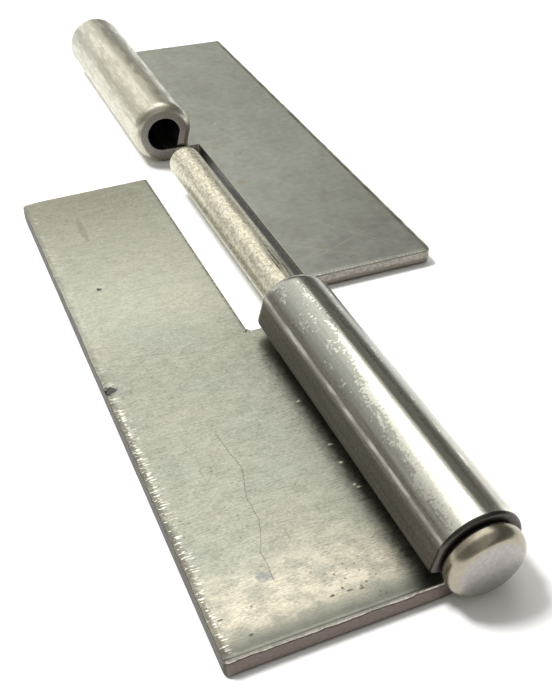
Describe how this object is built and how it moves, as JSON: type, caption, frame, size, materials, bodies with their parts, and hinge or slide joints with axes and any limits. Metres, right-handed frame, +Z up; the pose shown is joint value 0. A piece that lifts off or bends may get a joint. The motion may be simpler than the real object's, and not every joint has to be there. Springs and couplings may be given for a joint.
{
  "type": "lift off hinge",
  "caption": "Weld-on steel lift off hinge: two flat leaves with rolled knuckles, one carrying a headed pin that the other slides off and turns on. Shown lifted apart.",
  "frame": {"origin": "middle of the lifted-apart hinge on the plane that both leaves lie on, under the pin's axis", "axes": "+Y along the pin, from its head towards the lifted leaf; +Z up from the leaves' back faces; the near leaf lies towards -X and the far leaf towards +X"},
  "size_m": [0.075, 0.2024, 0.0144],
  "materials": {
    "leaf_steel": "bare mild steel sheet, satin, lightly oiled and scuffed",
    "pin_steel": "bare drawn steel, speckled satin"
  },
  "bodies": {
    "near_leaf": {"near_leaf": "leaf_steel"},
    "pin": {"pin": "pin_steel"},
    "far_leaf": {"far_leaf": "leaf_steel"}
  },
  "joints": [
    {"name": "leaf_swing", "type": "hinge", "parent": "near_leaf", "child": "pin", "pos_m": [0, 0, 0.0072], "axis": [0, -1, 0], "range_deg": [-96, 190]},
    {"name": "lift_off", "type": "slide", "parent": "pin", "child": "far_leaf", "axis": [0, 1, 0], "range_m": [-0.074, 0]}
  ]
}
